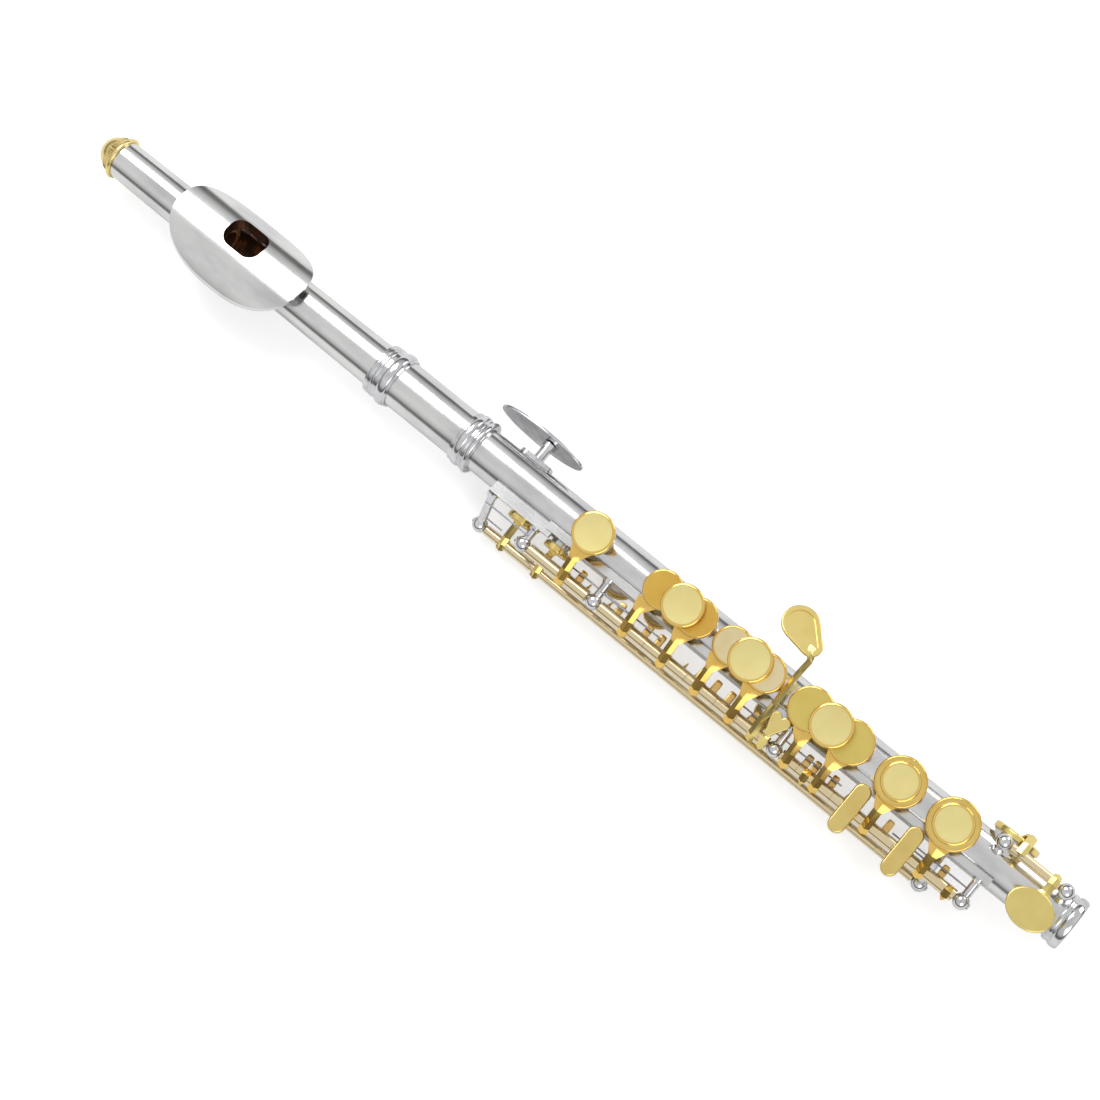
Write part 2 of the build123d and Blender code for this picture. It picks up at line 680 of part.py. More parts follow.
def make_gsharp_key():
    shell, room, _ = side_cup(gsharp_x, gsharp_cup_radius, gsharp_angle)
    w = gsharp_arm_width
    over = ribbed_arm(gsharp_x, [
        (leaf_y - 1.2, leaf_z + 0.7, -20, 3.0, 1.0, -1.6),
        (leaf_y - 4.6, leaf_z + 1.9, -16, w, 1.4, 0.1),
        (leaf_y - 8.0, leaf_z + 2.5, -6, w, 1.5, 0),
        (0.5, leaf_z + 2.4, 8, w, 1.5, 0),
        (-5.0, leaf_z + 0.8, 24, w, 1.5, 0),
        (-9.6, leaf_z - 1.8, 38, w + 0.4, 1.5, 0),
        (main_y - 0.6, main_z + hinge_radius + 0.2, 52, w + 0.7, 1.5, 0),
        (main_y - hinge_radius - 0.35, main_z + 0.6, 78, w + 0.7, 1.2, 0),
        (main_y - hinge_radius - 0.5, main_z - 1.2, 95, 0.8, 0.7, 0),
    ])
    back_y, back_z = polar(gsharp_angle, side_cup_back + 0.3)
    near_y, near_z = polar(gsharp_angle - 22, side_cup_back + 0.5)
    under = ribbed_arm(gsharp_x, [
        (back_y + 1.4, back_z - 1.4, gsharp_angle, 2.6, 1.0, 0),
        (near_y, near_z, gsharp_angle - 26, 2.2, 1.2, 0),
        (main_y + 1.2, main_z - 3.4, gsharp_angle - 40, 2.0, 1.3, 0),
        (main_y + 0.1, main_z - 0.9, gsharp_angle - 50, 2.0, 1.4, 0),
    ])
    key = over + make_leaf()
    key += under
    key += shell
    key += knuckle(gsharp_x, main_y, main_z, hinge_radius + 0.25, w + 0.6)
    key += hinge_tube(*gsharp_tube, hinge_radius, main_y, main_z)
    key -= room
    return key - rod(gsharp_tube[0] - 1, gsharp_tube[1] + 1, rod_radius + running_gap, main_y, main_z)


def make_side_lever():
    """A heart-shaped touch on a short hinge tube."""
    x0, x1 = side_plate_x
    y0, y1 = side_plate_y
    lobe = (x1 - x0) / 4
    point = (side_x, y0)
    outline = make_face(Wire([
        Line((point[0] - 0.6, point[1], 0), (x0, y1 - 2.0, 0)),
        ThreePointArc((x0, y1 - 2.0, 0), (x0 + lobe, y1, 0), (x0 + 2 * lobe, y1 - 0.9, 0)),
        ThreePointArc((x0 + 2 * lobe, y1 - 0.9, 0), (x0 + 3 * lobe, y1, 0), (x1, y1 - 2.0, 0)),
        Line((x1, y1 - 2.0, 0), (point[0] + 0.6, point[1], 0)),
        Line((point[0] + 0.6, point[1], 0), (point[0] - 0.6, point[1], 0)),
    ]))
    plate = Pos(0, 0, side_plate_z) * extrude(outline, side_plate_thickness)
    plate = fillet(plate.edges().group_by(Axis.Z)[-1], 0.25)
    stalk = ribbed_arm(side_x, [
        (side_plate_y[0] + 1.6, side_plate_z + 0.3, 20, 1.9, 1.0, 0),
        (side_plate_y[0] - 0.2, side_plate_z - 0.6, 45, 1.9, 1.2, 0),
        (main_y - 0.3, main_z + hinge_radius + 0.6, 66, 1.9, 1.3, 0),
        (main_y - hinge_radius - 0.2, main_z + 0.6, 78, 1.9, 1.2, 0),
        (main_y - hinge_radius - 0.5, main_z - 1.2, 95, 0.8, 0.7, 0),
    ])
    lever = plate + stalk
    lever += hinge_tube(*side_tube, hinge_radius, main_y, main_z)
    return lever - rod(side_tube[0] - 1, side_tube[1] + 1, rod_radius + running_gap, main_y, main_z)


def trill_cup_arm(index):
    """A trill cup with its arm and collar on the outer rod, without the hinge tube."""
    x_cup, x_arm = trill_cup_x[index], trill_arm_x[index]
    shell, room, _ = side_cup(x_cup, trill_cup_radius, trill_angle)
    back_y, back_z = polar(trill_angle, side_cup_back + 0.25)
    arm = ribbed_arm(x_arm, [
        (back_y, back_z + 1.0, trill_angle, 2.2, 0.9, x_cup - x_arm),
        (back_y - 0.4, back_z - 1.2, trill_angle - 20, 1.9, 1.0, (x_cup - x_arm) / 2),
        (trill_y + 1.6, trill_z + 2.0, trill_angle - 45, 1.9, 1.2, 0),
        (trill_y - 0.4, trill_z + trill_upper_radius, trill_angle - 60, 2.1, 1.2, 0),
        (trill_y - trill_upper_radius - 0.4, trill_z + 0.3, trill_angle - 15, 2.1, 1.0, 0),
        (trill_y - trill_upper_radius - 0.5, trill_z - 1.1, trill_angle, 0.7, 0.6, 0),
    ])
    return arm + shell + knuckle(x_arm, trill_y, trill_z, trill_upper_radius + 0.25, 1.9) - room


def trill_touch(x):
    """A long oval touch that stands over the main rod on a web from the outer rod."""
    oval = extrude(SlotOverall(touch_length, touch_width), touch_thickness)
    oval = fillet(oval.edges().group_by(Axis.Z)[-1], 0.5)
    oval = Pos(x, touch_y, touch_z) * Rot(0, 0, 90) * oval
    web = ribbed_arm(x, [
        (trill_y - 1.9, touch_z + 0.3, 90, 1.8, 1.4, 0),
        (trill_y - 1.9, trill_z + 5.0, 90, 1.8, 1.5, 0),
        (trill_y - 0.9, trill_z + 0.8, 80, 1.8, 1.6, 0),
        (trill_y + 0.2, trill_z - 0.6, 70, 1.8, 1.2, 0),
    ])
    return oval + web


def make_trill_one_upper():
    x0, x1 = trill_post_x[0] + ball_radius, trill_split_x[0]
    piece = trill_cup_arm(0) + hinge_tube(x0, x1, trill_upper_radius, trill_y, trill_z)
    return piece - rod(x0 - 1, x1 + 1, trill_rod_radius + running_gap, trill_y, trill_z)


def make_trill_one_lower():
    x0, x1 = trill_split_x[1], trill_post_x[1] - ball_radius
    piece = trill_touch(touch_x[0]) + hinge_tube(x0, x1, trill_tube_radius, trill_y, trill_z)
    return piece - rod(x0 - 1, x1 + 1, trill_rod_radius + running_gap, trill_y, trill_z)


def make_trill_two():
    x0, x1 = trill_split_x
    piece = trill_cup_arm(1) + trill_touch(touch_x[1])
    piece += hinge_tube(x0, x1, trill_tube_radius, trill_y, trill_z)
    return piece - rod(x0 - 1, x1 + 1, trill_rod_radius + running_gap, trill_y, trill_z)


def make_dsharp_key():
    shell, room, _ = side_cup(dsharp_x, dsharp_cup_radius, dsharp_angle)
    back_y, back_z = polar(dsharp_angle, side_cup_back + 0.2)
    strap = ribbed_arm(dsharp_arm_x, [
        (back_y + 0.1, back_z - 0.6, dsharp_angle, 2.4, 1.0, -1.2),
        (back_y + 1.2, back_z + 1.6, dsharp_angle + 12, 2.4, 1.2, -0.4),
        (back_y + 0.9, back_z + 4.2, dsharp_angle + 32, 2.4, 1.2, 0),
        (foot_y + 2.6, foot_z + 1.0, dsharp_angle + 46, 2.4, 1.3, 0),
        (foot_y, foot_z + foot_hinge_radius, 0, 2.4, 1.2, 0),
        (foot_y - foot_hinge_radius - 0.3, foot_z - 0.3, 75, 2.2, 1.0, 0),
        (foot_y - foot_hinge_radius - 0.2, foot_z - 1.8, 100, 0.7, 0.6, 0),
    ])
    touch = extrude(Ellipse(dsharp_touch_length / 2, dsharp_touch_width / 2), dsharp_touch_thickness)
    touch = fillet(touch.edges().group_by(Axis.Z)[-1], 0.35)
    touch = Pos(dsharp_touch_x, dsharp_touch_y, dsharp_touch_z) * touch
    neck = ribbed_arm(dsharp_touch_x + 0.4, [
        (dsharp_touch_y + 3.4, dsharp_touch_z + 0.4, 0, 5.4, 0.8, 0),
        (dsharp_touch_y + 5.4, dsharp_touch_z + 0.5, -4, 2.4, 1.1, 0),
        (foot_y - 1.2, foot_z + foot_hinge_radius + 0.35, -16, 2.3, 1.3, 0),
        (foot_y + 0.6, foot_z + foot_hinge_radius, -30, 2.3, 1.2, 0),
        (foot_y + foot_hinge_radius + 0.4, foot_z + 0.1, -75, 2.1, 1.0, 0),
        (foot_y + foot_hinge_radius + 0.6, foot_z - 1.2, -95, 0.7, 0.6, 0),
    ])
    key = strap + shell
    key += touch
    key += neck
    x0, x1 = foot_post_x[0] + ball_radius, foot_post_x[1] - ball_radius
    key += hinge_tube(x0, x1, foot_hinge_radius, foot_y, foot_z)
    key -= room
    return key - rod(x0 - 1, x1 + 1, foot_rod_radius + running_gap, foot_y, foot_z)


def make_thumb_key(index):
    """A thumb key under the body, standing open."""
    x, radius = thumb_x[index], thumb_cup_radius[index]
    shell, room, _ = side_cup(x, radius, thumb_angle)
    back = side_cup_back + 0.2
    middle_y, middle_z = polar(thumb_angle, back)
    across, down = math.cos(math.radians(thumb_angle)), math.sin(math.radians(thumb_angle))
    reach = radius - 0.6
    edge_y, edge_z = middle_y - across * reach, middle_z - down * reach
    arm = ribbed_arm(x, [
        (middle_y, middle_z, thumb_angle, 3.4, 0.9, 0),
        (edge_y, edge_z, thumb_angle + 6, thumb_arm_width, 1.0, 0),
        (thumb_y - 0.6, thumb_z - foot_hinge_radius + 0.1, 190, thumb_arm_width, 1.1, 0),
        (thumb_y + foot_hinge_radius - 0.1, thumb_z - 0.9, 232, thumb_arm_width, 0.9, 0),
    ])
    key = arm + shell
    edges = (thumb_post_x[0] + ball_radius, thumb_split_x, thumb_post_x[1] - ball_radius)
    x0, x1 = edges[index], edges[index + 1]
    key += hinge_tube(x0, x1, foot_hinge_radius, thumb_y, thumb_z)
    key -= room
    key -= rod(x0 - 1, x1 + 1, foot_rod_radius + running_gap, thumb_y, thumb_z)
    return key.rotate(thumb_line, thumb_open_angle)


# ---------------------------------------------------------------- springs
def make_springs(obstacles):
    """Straight needle springs, each from a post along the rods."""
    runs = [(-173.2, -159.5, -10.3, 4.9), (-173.2, -167.2, -12.3, -3.4), (-136.7, -148.4, -9.2, 3.4),
            (-136.7, -118.0, -9.2, 3.4), (-136.7, -128.0, -9.6, 4.6), (-79.9, -62.0, -9.2, 3.4),
            (-79.9, -92.5, -9.2, 3.4), (-23.6, -41.0, -9.2, 3.4), (-33.8, -46.0, -9.6, -1.2)]
    wires = []
    for x0, x1, y, z in runs:
        wire = rod(x0, x1, spring_radius, y, z)
        for obstacle in obstacles:
            wire -= obstacle
        wires.extend(wire.solids())
    return wires


def write(name, shape):
    """Writes one node, as a single solid or as a group of separate solids."""
    solids = []
    for piece in shape if isinstance(shape, list) else [shape]:
        solids.extend(piece.solids())
    whole = solids[0] if len(solids) == 1 else Compound(children=solids)
    whole.label = name
    export_step(whole, f"parts/{name}.step")


def main():
    os.makedirs("parts", exist_ok=True)
    write("body_tube", make_body_tube())
    write("barrel", make_barrel())
    write("upper_ring", make_upper_ring())
    write("lower_ring", make_lower_ring())
    write("foot_ring", make_foot_ring())
    rib = make_rib()
    write("main_rib", rib)
    main_posts = make_rib_posts(main_post_x, (main_y, main_z), rod_radius)
    trill_posts = make_rib_posts(trill_post_x, (trill_y, trill_z), trill_rod_radius)
    write("main_posts", main_posts)
    write("trill_posts", trill_posts)
    write("foot_posts", make_foot_posts())
    write("thumb_posts", radial_posts(thumb_post_x, thumb_y, thumb_z, foot_rod_radius))
    write("main_rod", rod(main_post_x[0] - ball_radius, main_post_x[3] + ball_radius, rod_radius, main_y, main_z))
    write("foot_rod", rod(foot_post_x[0] - ball_radius, foot_post_x[1] + ball_radius, foot_rod_radius, foot_y, foot_z))
    write("thumb_rod", rod(thumb_post_x[0] - ball_radius, thumb_post_x[1] + ball_radius, foot_rod_radius,
                           thumb_y, thumb_z))
    write("trill_rod", rod(trill_post_x[0] - ball_radius, trill_post_x[1] + ball_radius, trill_rod_radius,
                           trill_y, trill_z))
    write("finger_rest", make_finger_rest())
    write("needle_springs", make_springs(main_posts + trill_posts))

    write("head_tube", make_head_tube())
    write("lip_plate", make_lip_plate())
    write("embouchure_riser", make_riser())
    write("crown", make_crown())
    write("crown_screw", make_screw())
    write("stopper_cork", make_cork())
    write("stopper_plate", make_stopper_plate())
    write("stopper_nut", make_stopper_nut())

    collars = {"f_key_lower": -70.1, "d_key": -27.5}
    for name in finger_keys:
        key = make_finger_key(name)
        if name in collars:
            key = with_collar(key, collars[name])
        write(name, key)
    for letter in "aegcdf":
        names = [name for name in finger_keys if name[0] == letter]
        write(f"{letter}_pads", [make_finger_pad(name) for name in names])
    for name in raised_discs:
        write(name, make_raised_disc(name))
    for name in inlaid_discs:
        write(name, make_inlaid_disc(name))

    write("gsharp_key", make_gsharp_key())
    write("gsharp_pad", side_pad(gsharp_x, gsharp_cup_radius, gsharp_angle))
    write("side_bflat_lever", make_side_lever())
    write("trill_one_upper", make_trill_one_upper())
    write("trill_one_lower", make_trill_one_lower())
    write("trill_one_pad", side_pad(trill_cup_x[0], trill_cup_radius, trill_angle))
    write("trill_two", make_trill_two())
    write("trill_two_pad", side_pad(trill_cup_x[1], trill_cup_radius, trill_angle))
    write("dsharp_key", make_dsharp_key())
    write("dsharp_pad", side_pad(dsharp_x, dsharp_cup_radius, dsharp_angle))
    for index, name in enumerate(("thumb_b", "thumb_bflat")):
        write(f"{name}_key", make_thumb_key(index))
        thumb_pad = side_pad(thumb_x[index], thumb_cup_radius[index], thumb_angle)
        write(f"{name}_pad", thumb_pad.rotate(thumb_line, thumb_open_angle))


main()
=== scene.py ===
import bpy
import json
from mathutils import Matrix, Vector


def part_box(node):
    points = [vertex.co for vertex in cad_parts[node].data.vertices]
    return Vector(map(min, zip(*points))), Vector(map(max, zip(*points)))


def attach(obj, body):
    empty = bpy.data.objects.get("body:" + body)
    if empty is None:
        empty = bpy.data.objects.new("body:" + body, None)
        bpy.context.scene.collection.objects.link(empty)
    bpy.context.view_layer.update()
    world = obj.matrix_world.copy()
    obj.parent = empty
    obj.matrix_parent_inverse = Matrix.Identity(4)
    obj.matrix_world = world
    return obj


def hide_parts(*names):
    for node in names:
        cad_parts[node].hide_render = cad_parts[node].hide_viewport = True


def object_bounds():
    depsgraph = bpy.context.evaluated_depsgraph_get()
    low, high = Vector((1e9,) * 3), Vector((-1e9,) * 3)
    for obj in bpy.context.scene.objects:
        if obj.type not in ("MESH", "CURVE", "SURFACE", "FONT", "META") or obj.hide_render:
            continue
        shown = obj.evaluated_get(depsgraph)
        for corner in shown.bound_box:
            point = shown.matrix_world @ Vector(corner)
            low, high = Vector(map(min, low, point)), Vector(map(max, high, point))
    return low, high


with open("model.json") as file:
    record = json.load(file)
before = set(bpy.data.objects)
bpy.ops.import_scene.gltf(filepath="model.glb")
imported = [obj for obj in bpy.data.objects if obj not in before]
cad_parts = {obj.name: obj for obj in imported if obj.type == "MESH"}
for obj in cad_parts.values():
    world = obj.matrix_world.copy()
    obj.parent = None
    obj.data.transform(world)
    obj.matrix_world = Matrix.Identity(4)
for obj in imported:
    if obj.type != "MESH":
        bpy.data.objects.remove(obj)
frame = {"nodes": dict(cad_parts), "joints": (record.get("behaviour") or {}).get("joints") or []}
cadBox = [list(corner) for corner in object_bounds()]

import json
import math
import bmesh
import bpy
import numpy as np
from mathutils import Matrix, Vector

nodes = frame["nodes"]
mm = 0.001
print("frame loaded:", len(nodes), "nodes")


def boxMiddle(node):
    # middle and span of a node's box, in millimetres
    low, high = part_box(node)
    return [(low[i] + high[i]) / 2 / mm for i in range(3)], [(high[i] - low[i]) / mm for i in range(3)]


class Sock:
    # one shader socket; sums, differences, products and powers of it add Math nodes
    def __init__(self, shop, socket):
        self.shop, self.socket = shop, socket

    def math(self, operation, *others):
        return self.shop.node("Math", {"operation": operation}, dict(enumerate((self,) + others)))

    def __add__(self, other):
        return self.math("ADD", other)

    def __sub__(self, other):
        return self.math("SUBTRACT", other)

    def __mul__(self, other):
        return self.math("MULTIPLY", other)

    def __pow__(self, other):
        return self.math("POWER", other)

    def __rsub__(self, other):
        return self.shop.node("Math", {"operation": "SUBTRACT"}, {0: other, 1: self})

    __radd__ = __add__
    __rmul__ = __mul__

    def ramp(self, low, high, start=0.0, end=1.0):
        # a smooth step from start to end as the value goes from low to high
        return self.shop.node("MapRange", {"interpolation_type": "SMOOTHSTEP"},
                              {0: self, 1: low, 2: high, 3: start, 4: end})


class Shop:
    # the node tree of one material or of the world
    def __init__(self, tree):
        self.tree = tree
        tree.nodes.clear()

    def node(self, kind, settings=None, inputs=None, output=0):
        made = self.tree.nodes.new("ShaderNode" + kind)
        for name, value in (settings or {}).items():
            if name == "stops":
                while len(made.color_ramp.elements) < len(value):
                    made.color_ramp.elements.new(0.5)
                for element, (place, colour) in zip(made.color_ramp.elements, value):
                    element.position, element.color = place, (*colour, 1)
            else:
                setattr(made, name, value)
        for name, value in (inputs or {}).items():
            if isinstance(value, Sock):
                self.tree.links.new(value.socket, made.inputs[name])
            else:
                made.inputs[name].default_value = value
        return Sock(self, made.outputs[output]) if made.outputs else None

    def place(self):
        return self.node("TexCoord", output="Object")

    def axes(self):
        # x, y and z in millimetres
        point = self.place()
        return [self.node("SeparateXYZ", None, {0: point}, i) * 1000.0 for i in range(3)]

    def noise(self, stretch, detail=3.0, roughness=0.55):
        # noise on the object's own place, with a scale for each axis in cells per metre
        spot = self.node("Mapping", None, {"Vector": self.place(), "Scale": stretch})
        return self.node("TexNoise", None,
                         {"Vector": spot, "Scale": 1.0, "Detail": detail, "Roughness": roughness})

    def mix(self, factor, first, second):
        return self.node("Mix", {"data_type": "RGBA"}, {0: factor, 6: first, 7: second}, 2)


def distance(across, up):
    return (across * across + up * up) ** 0.5


screenCurve = {"white": 255.0, "join": 0.04045, "slope": 12.92, "lift": 0.055, "power": 2.4}


def srgb(red, green, blue):
    # a screen colour of 0 to 255 as linear light: a straight start, then a lifted power
    shares = np.array((red, green, blue)) / screenCurve["white"]
    curved = ((shares + screenCurve["lift"]) / (1 + screenCurve["lift"])) ** screenCurve["power"]
    linear = np.where(shares < screenCurve["join"], shares / screenCurve["slope"], curved)
    return (*(float(value) for value in linear), 1.0)


bumpStrength = 0.35


def newFinish(name):
    material = bpy.data.materials.new(name)
    material.use_nodes = True
    return material, Shop(material.node_tree)


def closeFinish(shop, inputs, grain=None, grainDepth=0.0):
    # joins everything to one Principled shader, with a bump if there is a grain
    if grain is not None:
        inputs["Normal"] = shop.node("Bump", None, {"Strength": bumpStrength, "Distance": grainDepth * mm,
                                                    "Height": grain})
    shader = shop.node("BsdfPrincipled", None, inputs)
    shop.node("OutputMaterial", None, {"Surface": shader})


# the main hinge: its line, the radius of the tubes on it, and the turn in degrees from open to shut
hingeMiddle = boxMiddle("main_rod")[0]
shutTurn = next(joint["range_deg"][1] for joint in frame["joints"] if joint["name"] == "c_key_hinge")
hinge = {"y": hingeMiddle[1], "z": hingeMiddle[2], "tube": 1.6, "open": shutTurn}
# a shut cup: the height of its top, the y of its middle, and how far it stands out past its pad
cupShape = {"top": 8.75, "line": 0.35, "rim": 0.45}
# where a tube's colour gives way to the arm's, past the tube's radius
tubeEdge = (0.12, 0.2)


def closedPlace(y, z):
    # y and z of a point once its open key is turned back about the main hinge until it is shut
    turn = math.radians(hinge["open"])
    across, up = y - hinge["y"], z - hinge["z"]
    shutY = across * math.cos(turn) + up * math.sin(turn) + hinge["y"]
    shutZ = up * math.cos(turn) - across * math.sin(turn) + hinge["z"]
    return shutY, shutZ


# silver tubes: colours, noise scales in cells per metre, and the depth of the polishing lines in millimetres
silverLook = {"bright": srgb(228, 228, 227), "soft": srgb(205, 205, 206), "roughness": 0.13, "lines": 0.07,
              "lineScale": (60, 4200, 4200), "patchScale": (70, 140, 140), "lineDepth": 0.012}


def drawnTube(shop):
    # polishing lines that run along the tube, the faint uneven tone of its plating, and its roughness
    lines = shop.noise(silverLook["lineScale"], 2.0)
    patches = shop.noise(silverLook["patchScale"], 3.0)
    colour = shop.mix(patches.ramp(0.35, 0.75), silverLook["bright"], silverLook["soft"])
    return lines, colour, silverLook["roughness"] + lines * silverLook["lines"]


boreLook = {"start": 5.5, "end": 5.62, "tone": srgb(120, 112, 104), "share": 0.8}


def tubeSilver(name):
    # the body's drawn tube, duller inside its bore
    material, shop = newFinish(name)
    lines, colour, roughness = drawnTube(shop)
    y, z = shop.axes()[1:]
    inside = distance(y, z).ramp(boreLook["start"], boreLook["end"], 1.0, 0.0)
    colour = shop.mix(inside * boreLook["share"], colour, boreLook["tone"])
    closeFinish(shop, {"Base Color": colour, "Metallic": 1.0, "Roughness": roughness}, lines,
                silverLook["lineDepth"])
    return material


# the head's outside radius at its joint, the joint's x, the taper's length, what the radius loses along it, and
# how far inside that the bore's colour starts and is whole
headWall = {"radius": 6.0, "joint": -217.3, "taper": 90.0, "loss": 0.75, "innerStart": 0.28, "innerEnd": 0.36}
tarnishLook = {"scale": (500, 260, 260), "dark": srgb(74, 50, 36), "warm": srgb(150, 92, 54), "dulling": 0.6,
               "roughness": 0.3}


def headSilver(name):
    # the head's drawn tube, tapered towards the crown, with a brown tarnish inside
    material, shop = newFinish(name)
    lines, colour, roughness = drawnTube(shop)
    x, y, z = shop.axes()
    wall = headWall["radius"] + (x - headWall["joint"]).ramp(-headWall["taper"], 0.0, -headWall["loss"], 0.0)
    inside = (wall - distance(y, z)).ramp(headWall["innerStart"], headWall["innerEnd"])
    tarnish = shop.noise(tarnishLook["scale"], 4.0)
    brown = shop.mix(tarnish.ramp(0.45, 0.62), tarnishLook["dark"], tarnishLook["warm"])
    closeFinish(shop, {"Base Color": shop.mix(inside, colour, brown),
                       "Metallic": 1.0 - inside * tarnishLook["dulling"],
                       "Roughness": roughness + inside * tarnishLook["roughness"]}, lines,
                silverLook["lineDepth"])
    return material


turnedLook = {"bright": srgb(226, 226, 228), "grey": srgb(192, 193, 196), "lineScale": (5200, 300, 300),
              "patchScale": (300, 300, 300), "lines": 0.06, "lineDepth": 0.006}


def turnedSilver(name, roughness=0.07):
    # turned rings and posts: the tool's lines run round them, and the tone greys a little in patches
    material, shop = newFinish(name)
    lines = shop.noise(turnedLook["lineScale"], 2.0)
    patches = shop.noise(turnedLook["patchScale"], 3.0)
    colour = shop.mix(patches.ramp(0.3, 0.8), turnedLook["bright"], turnedLook["grey"])
    closeFinish(shop, {"Base Color": colour, "Metallic": 1.0,
                       "Roughness": roughness + lines * turnedLook["lines"]}, lines, turnedLook["lineDepth"])
    return material


steelLook = {"lineScale": (6000, 500, 500), "oilScale": (160, 500, 500), "dulling": 0.72, "roughness": 0.16,
             "lines": 0.12, "lineDepth": 0.006}


def groundSteel(name, colour):
    # a ground rod: fine lines round it, a darker oiled tone in patches
    material, shop = newFinish(name)
    lines = shop.noise(steelLook["lineScale"], 2.0)
    oil = shop.noise(steelLook["oilScale"], 3.0)
    dull = tuple(steelLook["dulling"] * value for value in colour[:3]) + (1.0,)
    closeFinish(shop, {"Base Color": shop.mix(oil.ramp(0.35, 0.7), colour, dull), "Metallic": 1.0,
                       "Roughness": steelLook["roughness"] + lines * steelLook["lines"]}, lines,
                steelLook["lineDepth"])
    return material


# the tube colour is the keys' gold made paler, partly a painted sheen standing in for the white highlights on
# the hinge tubes
goldLook = {"polish": srgb(244, 206, 116), "deep": srgb(216, 160, 62), "tube": srgb(236, 218, 176),
            "satin": srgb(242, 228, 158), "satinDeep": srgb(230, 210, 132), "patchScale": (150, 150, 150)}


def tubeMask(y, z, lineY, lineZ, tubeRadius):
    # 1 on a tube round a line along x, and 0 past it
    start, end = tubeEdge
    return distance(y - lineY, z - lineZ).ramp(tubeRadius + start, tubeRadius + end, 1.0, 0.0)


def goldTones(shop, bright, deep):
    # the plating's colour, a little deeper in broad patches
    patches = shop.noise(goldLook["patchScale"], 2.0)
    return shop.mix(patches.ramp(0.25, 0.85, 0.0, 0.45), bright, deep)


# a key's face: how far in from the cup's edge and down from its top it is whole and ends
faceEdge = {"in": (0.75, 0.6), "down": (0.12, 0.06)}
keyLook = {"scratchScale": (900, 900, 900), "lineScale": (5000, 600, 600), "roughness": 0.09,
           "scratches": 0.06, "tubeLines": 0.1, "lineDepth": 0.005}


def keyGold(name, cups, faceColour, faceDeep, faceRoughness):
    # a key on the main hinge: pale tube whose paleness is partly a painted sheen, polished arm and cup side,
    # and a face of its own finish on each cup
    material, shop = newFinish(name)
    x, y, z = shop.axes()
    shutY, shutZ = closedPlace(y, z)
    tube = tubeMask(y, z, hinge["y"], hinge["z"], hinge["tube"])
    outer, inner = faceEdge["in"]
    under, over = faceEdge["down"]
    face = None
    for middle, radius in cups:
        ring = distance(x - middle, shutY - cupShape["line"]).ramp(radius - outer, radius - inner, 1.0, 0.0)
        here = ring * shutZ.ramp(cupShape["top"] - under, cupShape["top"] - over)
        face = here if face is None else face + here
    scratches = shop.noise(keyLook["scratchScale"], 5.0, 0.7)
    lines = shop.noise(keyLook["lineScale"], 2.0)
    colour = goldTones(shop, goldLook["polish"], goldLook["deep"])
    colour = shop.mix(face, colour, goldTones(shop, faceColour, faceDeep))
    # the pale tube colour here is partly a painted sheen
    colour = shop.mix(tube, colour, goldLook["tube"])
    rough = (keyLook["roughness"] + scratches * keyLook["scratches"] + face * faceRoughness
             + tube * (lines * keyLook["tubeLines"]))
    closeFinish(shop, {"Base Color": colour, "Metallic": 1.0, "Roughness": rough}, lines, keyLook["lineDepth"])
    return material


plainLook = {"scratchScale": (1100, 1100, 1100), "scratches": 0.08, "scratchDepth": 0.004}


def plainGold(name, bright, deep, roughness):
    # one gold all over, with fine scratches: the crown, the catches and the clutch bars
    material, shop = newFinish(name)
    scratches = shop.noise(plainLook["scratchScale"], 5.0, 0.7)
    closeFinish(shop, {"Base Color": goldTones(shop, bright, deep), "Metallic": 1.0,
                       "Roughness": roughness + scratches * plainLook["scratches"]}, scratches,
                plainLook["scratchDepth"])
    return material


rodLook = {"scratchScale": (1000, 1000, 1000), "scratches": 0.07, "scratchDepth": 0.004}


def rodGold(name, rod, tubeRadius, bright, deep, roughness):
    # a key whose arms need no cup faces: its tube on its rod is pale, partly a painted sheen, and the rest is
    # in one gold
    material, shop = newFinish(name)
    y, z = shop.axes()[1:]
    rodMiddle = boxMiddle(rod)[0]
    tube = tubeMask(y, z, rodMiddle[1], rodMiddle[2], tubeRadius)
    scratches = shop.noise(rodLook["scratchScale"], 5.0, 0.7)
    # the pale tube colour here is partly a painted sheen
    colour = shop.mix(tube, goldTones(shop, bright, deep), goldLook["tube"])
    closeFinish(shop, {"Base Color": colour, "Metallic": 1.0,
                       "Roughness": roughness + scratches * rodLook["scratches"]}, scratches,
                rodLook["scratchDepth"])
    return material


discLook = {"inside": 0.12, "outside": 0.05, "brushScale": (2600, 380, 380), "wearScale": (120, 120, 120),
            "polish": 0.08, "brushing": 0.12, "brushDepth": 0.01}


def faceGold(name, middle, radius, border, roughness):
    # a finger disc: brushed satin face and a bright polished border
    material, shop = newFinish(name)
    x, y, z = shop.axes()
    shutY = closedPlace(y, z)[0]
    out = distance(x - middle, shutY - cupShape["line"])
    flat = radius - border
    satin = out.ramp(flat - discLook["inside"], flat + discLook["outside"], 1.0, 0.0)
    brushed = shop.noise(discLook["brushScale"], 4.0, 0.6)
    wear = shop.noise(discLook["wearScale"], 2.0)
    tone = shop.mix(wear.ramp(0.25, 0.8, 0.0, 0.5), goldLook["satin"], goldLook["satinDeep"])
    colour = shop.mix(satin, goldLook["polish"], tone)
    rough = discLook["polish"] + satin * roughness + satin * (brushed * discLook["brushing"])
    closeFinish(shop, {"Base Color": colour, "Metallic": 1.0, "Roughness": rough}, brushed * satin,
                discLook["brushDepth"])
    return material


corkLook = {"tan": srgb(196, 142, 88), "fleck": srgb(112, 70, 38), "cellScale": 1600.0,
            "fleckScale": (900, 900, 900), "roughness": 0.75, "fleckRoughness": 0.15, "cellDepth": 0.1}


